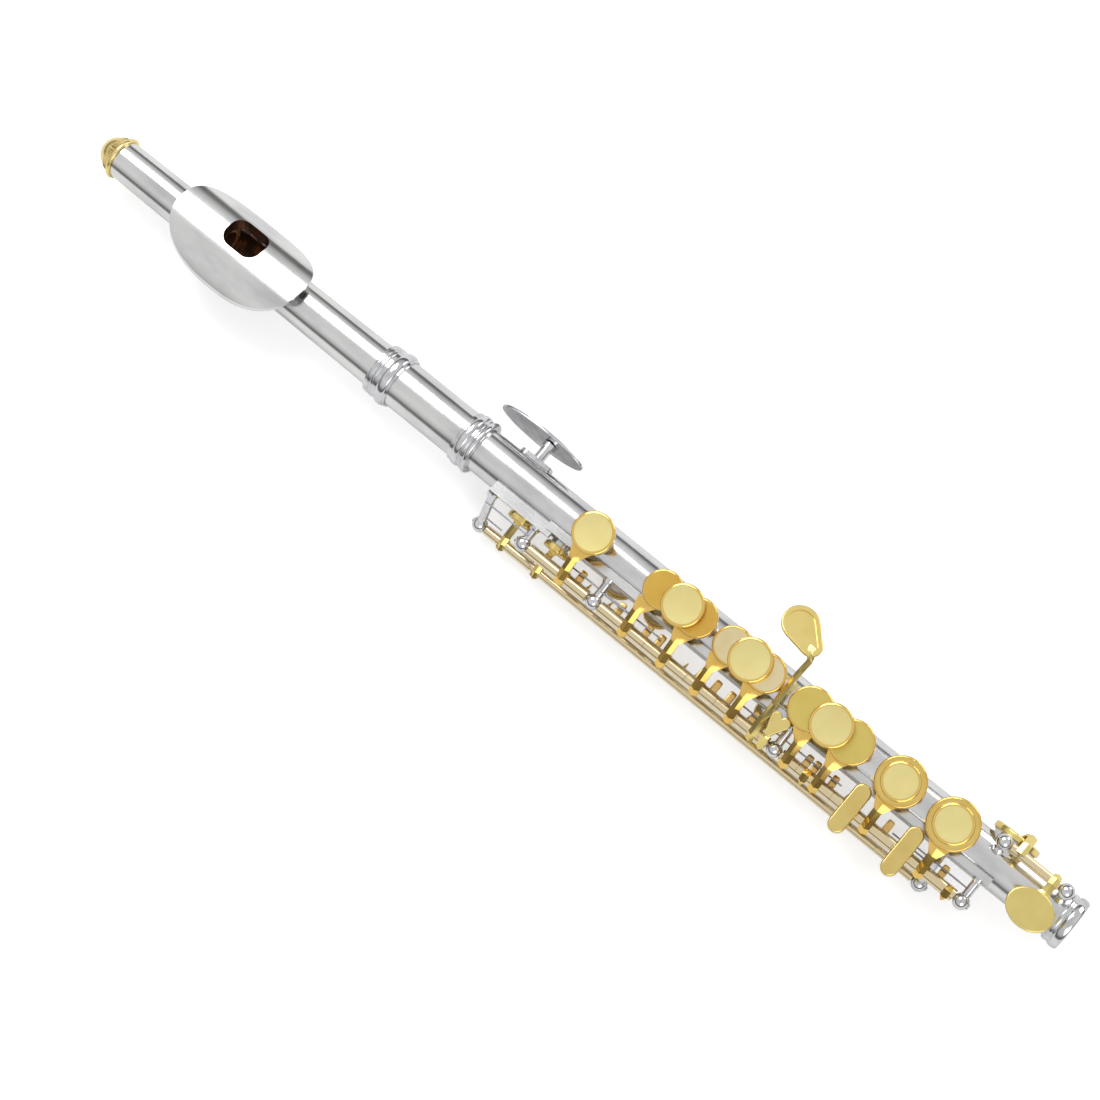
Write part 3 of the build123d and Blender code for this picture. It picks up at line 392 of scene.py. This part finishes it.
def corkGrain(name):
    # cork: cells as bumps, and dark flecks
    material, shop = newFinish(name)
    cells = shop.node("TexVoronoi", None, {"Vector": shop.place(), "Scale": corkLook["cellScale"]}, "Distance")
    flecks = shop.noise(corkLook["fleckScale"], 4.0)
    colour = shop.mix(flecks.ramp(0.5, 0.68), corkLook["tan"], corkLook["fleck"])
    rough = corkLook["roughness"] + flecks * corkLook["fleckRoughness"]
    closeFinish(shop, {"Base Color": colour, "Metallic": 0.0, "Roughness": rough}, cells, corkLook["cellDepth"])
    return material


skinLook = {"pale": srgb(232, 214, 172), "stained": srgb(206, 176, 120), "wrinkleScale": (1500, 1500, 400),
            "stainScale": (300, 300, 300), "roughness": 0.42, "wrinkles": 0.2, "wrinkleDepth": 0.04}


def padSkin(name):
    # the pads' thin skin: fine wrinkles and a darker stain in patches
    material, shop = newFinish(name)
    wrinkles = shop.noise(skinLook["wrinkleScale"], 5.0, 0.65)
    stain = shop.noise(skinLook["stainScale"], 3.0)
    colour = shop.mix(stain.ramp(0.4, 0.75), skinLook["pale"], skinLook["stained"])
    rough = skinLook["roughness"] + wrinkles * skinLook["wrinkles"]
    closeFinish(shop, {"Base Color": colour, "Metallic": 0.0, "Roughness": rough}, wrinkles,
                skinLook["wrinkleDepth"])
    return material


def dress(node, material):
    for place in nodes[node].material_slots:
        place.material = material


bodySilver, ringSilver = tubeSilver("bodySilver"), turnedSilver("ringSilver")
postSilver = turnedSilver("postSilver", 0.05)
for node in ("body_tube", "barrel", "main_rib", "embouchure_riser", "lip_plate", "stopper_plate"):
    dress(node, bodySilver)
dress("head_tube", headSilver("headSilver"))
for node in ("upper_ring", "lower_ring", "foot_ring"):
    dress(node, ringSilver)
for node in ("main_posts", "trill_posts", "foot_posts", "thumb_posts", "finger_rest"):
    dress(node, postSilver)
rodSteel = groundSteel("rodSteel", srgb(196, 194, 190))
for node in ("main_rod", "foot_rod", "thumb_rod", "crown_screw"):
    dress(node, rodSteel)
dress("trill_rod", groundSteel("trillSteel", srgb(204, 196, 178)))
dress("needle_springs", groundSteel("springSteel", srgb(176, 178, 186)))
dress("stopper_cork", corkGrain("corkGrain"))
crownGold = plainGold("crownGold", srgb(246, 224, 156), srgb(228, 194, 110), 0.2)
dress("crown", crownGold)
dress("stopper_nut", crownGold)
skin = padSkin("padSkin")
for node in nodes:
    if node.endswith("_pad") or node.endswith("_pads"):
        dress(node, skin)


def cupPlaces(pads, radius):
    # the x of each cup: a lone pad fills its node's box, and two pads lie at the ends of theirs
    middle, span = boxMiddle(pads)
    apart = span[0] / 2 - (radius - cupShape["rim"])
    return [middle[0] - apart, middle[0] + apart] if apart > radius / 2 else [middle[0]]


# the keys with cups that show: their nodes, pads, cup radius, and their faces' colours and added roughness
keyLooks = {
    "cKeyGold": (["c_key"], "c_pads", 5.1, srgb(236, 204, 112), srgb(214, 170, 70), 0.12),
    "aKeyGold": (["a_key_upper", "a_key_lower"], "a_pads", 5.1,
                 srgb(232, 190, 92), srgb(214, 164, 66), 0.16),
    "gKeyGold": (["g_key_upper", "g_key_lower"], "g_pads", 5.0,
                 srgb(252, 236, 190), srgb(236, 206, 132), -0.04),
    "fKeyGold": (["f_key_upper", "f_key_lower"], "f_pads", 5.65,
                 srgb(228, 206, 116), srgb(210, 180, 88), 0.2),
    "eKeyGold": (["e_key"], "e_pads", 6.35, srgb(244, 216, 130), srgb(222, 182, 86), 0.0),
    "dKeyGold": (["d_key"], "d_pads", 6.55, srgb(244, 216, 130), srgb(222, 182, 86), 0.0),
}
for finish, (members, pads, radius, bright, deep, roughness) in keyLooks.items():
    cups = [(place, radius) for place in cupPlaces(pads, radius)]
    material = keyGold(finish, cups, bright, deep, roughness)
    for node in members:
        dress(node, material)

# the other keys: their nodes, rod, tube radius, colours and roughness
leverLooks = {
    "leverGold": (["gsharp_key", "side_bflat_lever"], "main_rod", hinge["tube"],
                  srgb(240, 218, 140), srgb(222, 190, 100), 0.16),
    "trillGold": (["trill_one_upper", "trill_one_lower", "trill_two"], "trill_rod", 1.3,
                  srgb(238, 214, 136), srgb(220, 184, 98), 0.16),
    "footGold": (["dsharp_key"], "foot_rod", 1.25, srgb(242, 222, 142), srgb(224, 194, 108), 0.18),
    "thumbGold": (["thumb_b_key", "thumb_bflat_key"], "thumb_rod", 1.25,
                  srgb(238, 206, 118), srgb(214, 172, 78), 0.1),
}
for finish, (members, rod, tubeRadius, bright, deep, roughness) in leverLooks.items():
    material = rodGold(finish, rod, tubeRadius, bright, deep, roughness)
    for node in members:
        dress(node, material)
print("finishes made")


nearNothing = 1e-12  # keeps a run of no length from dividing by zero
weldDistance = 1e-7  # in metres


def gridFaces(rows, columns):
    # quads between neighbouring rows, closed round the columns
    row, column = np.meshgrid(np.arange(rows - 1), np.arange(columns), indexing="ij")
    first = row * columns + column
    second = row * columns + (column + 1) % columns
    return np.stack((first, second, second + columns, first + columns), axis=-1).reshape(-1, 4)


def turnedShell(profile, segments=96):
    # each (radius, height) of the profile carried round the z axis
    turn = np.linspace(0, 2 * np.pi, segments, endpoint=False)
    radius, height = profile[:, 0:1], profile[:, 1:2]
    points = np.stack((radius * np.cos(turn), radius * np.sin(turn), height + 0 * turn), axis=-1)
    return points.reshape(-1, 3), gridFaces(len(profile), segments)


def sweptShell(path, radii, segments=16):
    # a circle of changing radius carried along a path that lies in a plane of constant x; both ends closed
    path = np.vstack((path[:1], path, path[-1:]))
    radii = np.concatenate(([0], radii, [0]))
    run = np.gradient(path, axis=0)
    run /= np.linalg.norm(run, axis=1, keepdims=True) + nearNothing
    side = np.tile((1.0, 0.0, 0.0), (len(path), 1))
    up = np.cross(run, side)
    turn = np.linspace(0, 2 * np.pi, segments, endpoint=False)
    points = (path[:, None] + radii[:, None, None] * (np.cos(turn)[None, :, None] * side[:, None]
                                                      + np.sin(turn)[None, :, None] * up[:, None]))
    return points.reshape(-1, 3), gridFaces(len(path), segments)


def opened(points):
    # a shut key's points turned about the main hinge to where it stands open
    turn = math.radians(hinge["open"])
    across, up = points[:, 1] - hinge["y"], points[:, 2] - hinge["z"]
    return np.stack((points[:, 0], hinge["y"] + across * math.cos(turn) - up * math.sin(turn),
                     hinge["z"] + up * math.cos(turn) + across * math.sin(turn)), axis=1)


def buildPiece(name, shells, material, body):
    # several shells, in millimetres, welded into one mesh with its normals outwards
    base, points, faces = 0, [], []
    for shellPoints, shellFaces in shells:
        points.append(shellPoints)
        faces.append(shellFaces + base)
        base += len(shellPoints)
    mesh = bpy.data.meshes.new(name)
    mesh.from_pydata((np.vstack(points) * mm).tolist(), [], np.vstack(faces).tolist())
    work = bmesh.new()
    work.from_mesh(mesh)
    bmesh.ops.remove_doubles(work, verts=work.verts, dist=weldDistance)
    bmesh.ops.dissolve_degenerate(work, edges=work.edges, dist=weldDistance / 10)
    bmesh.ops.recalc_face_normals(work, faces=work.faces)
    work.to_mesh(mesh)
    work.free()
    mesh.polygons.foreach_set("use_smooth", np.ones(len(mesh.polygons), dtype=bool))
    piece = bpy.data.objects.new(name, mesh)
    bpy.context.scene.collection.objects.link(piece)
    mesh.materials.append(material)
    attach(piece, body)
    return piece


def moved(shell, x=0.0, y=0.0, z=0.0):
    points, faces = shell
    return points + np.array((x, y, z)), faces


def discProfile(radius, bottom, top, bevel, lift, dish):
    # flat underside, a small quarter round, a broad quarter ellipse, then a face whose height is its middle's
    # plus the dish times the square of the way out
    turn = np.linspace(0, np.pi / 2, 10)
    small = discSizes["lowerEdge"]
    lower = np.stack((radius - small + small * np.sin(turn), bottom + small - small * np.cos(turn)), 1)
    upper = np.stack((radius - bevel + bevel * np.cos(turn), top - lift + lift * np.sin(turn)), 1)
    way = np.linspace(1, 0, 14)[1:]
    inside = np.stack((way * (radius - bevel), top - dish * (1 - way ** 2)), 1)
    return np.vstack(([(0.0, bottom)], lower, upper, inside))


# finger discs: their body, and the x of the stem they stand on, or None where they are set into the cup
discs = {
    "c_disc": ("c_key", -146.0),
    "a_disc": ("a_keys", -115.6),
    "g_disc": ("g_keys", -94.6),
    "f_disc": ("f_keys", -69.4),
    "e_disc": ("e_key", None),
    "d_disc": ("d_key", None),
}
discSizes = {"stemHeight": 1.0, "thickness": 1.2, "inlay": 0.7, "stemRadius": 1.85, "bevel": 0.75,
             "lift": 0.4, "dish": 0.12, "lowerEdge": 0.3, "clearance": 0.02, "waist": 0.12, "sink": 0.1,
             "raisedRoughness": 0.2, "inlaidRoughness": 0.24}
for node, (body, stem) in discs.items():
    middle, span = boxMiddle(node)
    radius = span[0] / 2
    raised = stem is not None
    bottom = cupShape["top"] + discSizes["stemHeight" if raised else "clearance"]
    top = bottom + (discSizes["thickness"] if raised else discSizes["inlay"] - discSizes["clearance"])
    profile = discProfile(radius, bottom, top, discSizes["bevel"], discSizes["lift"], discSizes["dish"])
    shells = [moved(turnedShell(profile), middle[0], cupShape["line"])]
    if raised:
        # the stem's radius dips by half a sine wave on the way up, and its ends are closed
        way = np.linspace(0, 1, 9)
        stemTop = bottom + discSizes["sink"]
        neck = discSizes["stemRadius"] * (1 - discSizes["waist"] * np.sin(np.pi * way))
        waist = np.stack((neck, cupShape["top"] + way * (stemTop - cupShape["top"])), 1)
        waist = np.vstack(([(0.0, cupShape["top"])], waist, [(0.0, stemTop)]))
        shells.append(moved(turnedShell(waist, 48), stem, cupShape["line"]))
    shells = [(opened(points), faces) for points, faces in shells]
    roughness = discSizes["raisedRoughness" if raised else "inlaidRoughness"]
    plainName = node.replace("_", "")
    material = faceGold(plainName + "Gold", middle[0], radius, discSizes["bevel"], roughness)
    piece = buildPiece(plainName + "Face", shells, material, body)
    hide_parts(node)
print("finger discs made")

# slotted screw heads in both ends of each rod: the rod's node, the head's scale, body
screws = {"radius": 0.72, "dome": 0.28, "fall": 0.6, "slot": 0.13, "depth": 0.16, "sink": 0.1}
rodEnds = [("main_rod", 1.0, "body"), ("trill_rod", 0.75, "trill_one"), ("foot_rod", 0.8, "body"),
           ("thumb_rod", 0.8, "body")]


def slottedHead(end, y, z, scale, outwards):
    # height falls off as the square of the distance from the middle, less a slot across it
    radius = screws["radius"] * scale
    out = np.concatenate((np.linspace(0, 1, 20), [1.0]))
    turn = np.linspace(0, 2 * np.pi, 72, endpoint=False)
    across = out[:, None] * np.cos(turn) * radius
    along = out[:, None] * np.sin(turn) * radius
    rise = screws["dome"] * (1 - screws["fall"] * out[:, None] ** 2) + 0 * turn
    rise = np.where(np.abs(along) < screws["slot"], rise - screws["depth"], rise)
    rise[-1] = -screws["sink"]
    points = np.stack((end + outwards * rise, y + along, z + across), axis=-1)
    return points.reshape(-1, 3), gridFaces(len(out), len(turn))


steelHead = groundSteel("screwSteel", srgb(188, 186, 182))
for node, scale, body in rodEnds:
    (x, y, z), span = boxMiddle(node)
    heads = [slottedHead(x + side * span[0] / 2, y, z, scale, side) for side in (-1, 1)]
    buildPiece(node.replace("_", "") + "Heads", heads, steelHead, body)

# spring catches: a small hook that hangs from each key's tube, with the x and body of each
catches = {"height": 2.3, "root": 0.55, "tip": 0.22, "bend": 1.1, "slant": 0.9, "sink": 0.35, "drop": 0.5}
catchPlaces = [(-140.3, "c_key"), (-133.4, "a_keys"), (-109.4, "a_keys"), (-105.9, "g_keys"),
               (-89.6, "gsharp_key"), (-63.6, "f_keys"), (-59.6, "e_key"), (-41.9, "d_key")]
catchGold = plainGold("catchGold", goldLook["polish"], goldLook["deep"], 0.12)
for index, (x, body) in enumerate(catchPlaces):
    way = np.linspace(0, 1, 14)
    # the hook slants out from the tube and bends over as the square of the way down it
    root = hinge["y"] + hinge["tube"] - catches["sink"]
    path = np.stack((x + 0 * way, root + catches["bend"] * way ** 2 + catches["slant"] * way,
                     hinge["z"] - catches["drop"] - catches["height"] * way), axis=1)
    radii = catches["root"] + (catches["tip"] - catches["root"]) * way
    buildPiece(f"springCatch{index + 1}", [sweptShell(path, radii)], catchGold, body)

# clutch bars: a rounded bar that reaches from a tube towards the body, with a cork facing under its end,
# and the x and body of each
clutches = {"half": (0.95, 1.9, 0.42), "y": -9.6, "z": 1.6, "power": 5.0,
            "corkHalf": (0.85, 0.8, 0.28), "corkForward": 1.1, "corkDown": 0.55}
clutchPlaces = [(-143.2, "c_key"), (-130.6, "a_keys"), (-121.9, "a_keys"), (-118.0, "a_keys"),
                (-105.0, "g_keys"), (-100.4, "g_keys"), (-96.0, "g_keys"), (-88.6, "gsharp_key"),
                (-72.0, "f_keys"), (-69.6, "f_keys"), (-64.2, "f_keys"), (-57.0, "e_key"), (-47.6, "e_key"),
                (-40.2, "d_key"), (-31.0, "d_key")]


def roundedBlock(middle, half, power, rows=17, columns=32):
    # a superellipsoid: cosines and sines of two angles, each raised to 2 / power with its sign kept
    rise, turn = np.meshgrid(np.linspace(-np.pi / 2, np.pi / 2, rows),
                             np.linspace(0, 2 * np.pi, columns, endpoint=False), indexing="ij")

    def swell(values):
        return np.sign(values) * np.abs(values) ** (2 / power)

    points = np.stack((swell(np.cos(rise)) * swell(np.cos(turn)), swell(np.cos(rise)) * swell(np.sin(turn)),
                       swell(np.sin(rise))), axis=-1)
    return (points * np.array(half) + np.array(middle)).reshape(-1, 3), gridFaces(rows, columns)


# the clutch bars' gold is darker and browner than the keys', partly painted shade for the shadowed space under
# the key stack
clutchGold = plainGold("clutchGold", srgb(232, 196, 124), srgb(190, 140, 66), 0.16)
clutchCork = corkGrain("clutchCork")
for index, (x, body) in enumerate(clutchPlaces):
    bar = roundedBlock((x, clutches["y"], clutches["z"]), clutches["half"], clutches["power"])
    corkMiddle = (x, clutches["y"] + clutches["corkForward"], clutches["z"] - clutches["corkDown"])
    facing = roundedBlock(corkMiddle, clutches["corkHalf"], clutches["power"])
    buildPiece(f"clutchBar{index + 1}", [bar], clutchGold, body)
    buildPiece(f"clutchCork{index + 1}", [facing], clutchCork, body)
print("screws, catches and clutches made")


def areaLamp(name, place, aim, size, power):
    data = bpy.data.lights.new(name, "AREA")
    data.shape, data.size, data.energy = "SQUARE", size, power
    lamp = bpy.data.objects.new(name, data)
    bpy.context.scene.collection.objects.link(lamp)
    lamp.location = place
    lamp.rotation_euler = (Vector(aim) - Vector(place)).to_track_quat("-Z", "Y").to_euler()


# each lamp's place, size in metres and power in watts; all of them aim at the middle of the tube
lampAim = (-0.155, 0.0, 0.0)
lamps = {"keyLamp": ((-0.55, 0.35, 0.75), 0.5, 3.2), "fillLamp": ((0.45, -0.45, 0.6), 0.6, 1.4),
         "rimLamp": ((0.1, 0.7, 0.25), 0.35, 0.9)}
for name, (place, size, power) in lamps.items():
    areaLamp(name, place, lampAim, size, power)

world = bpy.data.worlds.new("studio")
bpy.context.scene.world = world
world.use_nodes = True
shop = Shop(world.node_tree)
# light from overhead, a dark band just above the horizon, grey below; the camera sees plain white
skyStops = [(0.0, (0.5, 0.5, 0.5)), (0.48, (0.4, 0.39, 0.38)), (0.55, (0.14, 0.13, 0.12)),
            (0.62, (0.2, 0.2, 0.2)), (0.68, (0.55, 0.55, 0.55)), (0.82, (0.8, 0.8, 0.8)),
            (1.0, (0.72, 0.72, 0.72))]
heading = shop.node("SeparateXYZ", None, {0: shop.node("TexCoord", output="Generated")}, 2)
sky = shop.node("ValToRGB", {"stops": skyStops}, {0: heading * 0.5 + 0.5})
seen = shop.node("LightPath", output="Is Camera Ray")
light = shop.node("Background", None, {"Color": shop.mix(seen, sky, (1, 1, 1, 1)), "Strength": 1.0})
shop.node("OutputWorld", None, {"Surface": light})

# the floor lies just under the lowest point; its glow, seen by the camera alone, keeps it pale
floorLook = {"reach": 4.0, "gap": 0.0005, "colour": (0.86, 0.86, 0.86, 1), "glow": (0.42, 0.42, 0.42, 1),
             "roughness": 0.8, "gloss": 0.1}
floorMesh = bpy.data.meshes.new("floor")
floorHeight = cadBox[0][2] - floorLook["gap"]
corners = [(-1, -1), (1, -1), (1, 1), (-1, 1)]
floorMesh.from_pydata([(floorLook["reach"] * x, floorLook["reach"] * y, floorHeight) for x, y in corners], [],
                      [(0, 1, 2, 3)])
floor = bpy.data.objects.new("floor", floorMesh)
bpy.context.scene.collection.objects.link(floor)
material, shop = newFinish("paleFloor")
seen = shop.node("LightPath", output="Is Camera Ray")
closeFinish(shop, {"Base Color": floorLook["colour"], "Roughness": floorLook["roughness"],
                   "Specular IOR Level": floorLook["gloss"],
                   "Emission Color": shop.mix(seen, (0, 0, 0, 1), floorLook["glow"]),
                   "Emission Strength": 1.0})
floorMesh.materials.append(material)

# the camera: its angles in degrees, distance and aim in metres, and lens and sensor in millimetres
view = {"lean": 8.0, "swing": 12.0, "roll": 39.13, "distance": 0.618, "lens": 81.8, "sensor": 36.0,
        "clip": 0.01, "aimX": -0.1542, "drop": 0.00883}
lean, swing, roll = (math.radians(view[name]) for name in ("lean", "swing", "roll"))
along = Vector((1, 0, 0))
level = Vector((0, math.sin(lean), -math.cos(lean)))
up = Vector((0, math.cos(lean), math.sin(lean)))
forward = -math.sin(swing) * along + math.cos(swing) * level
right = math.cos(swing) * along + math.sin(swing) * level
imageRight = math.cos(roll) * right + math.sin(roll) * up
imageUp = -math.sin(roll) * right + math.cos(roll) * up
eye = Vector((view["aimX"], 0, 0)) - up * view["drop"] - view["distance"] * forward
camData = bpy.data.cameras.new("camera")
camData.lens, camData.sensor_width, camData.clip_start = view["lens"], view["sensor"], view["clip"]
camera = bpy.data.objects.new("camera", camData)
camera.matrix_world = Matrix((imageRight, imageUp, -forward)).transposed().to_4x4()
camera.location = eye
bpy.context.scene.collection.objects.link(camera)
bpy.context.scene.camera = camera
bpy.context.scene.view_settings.view_transform = "Standard"
print("studio and camera made")
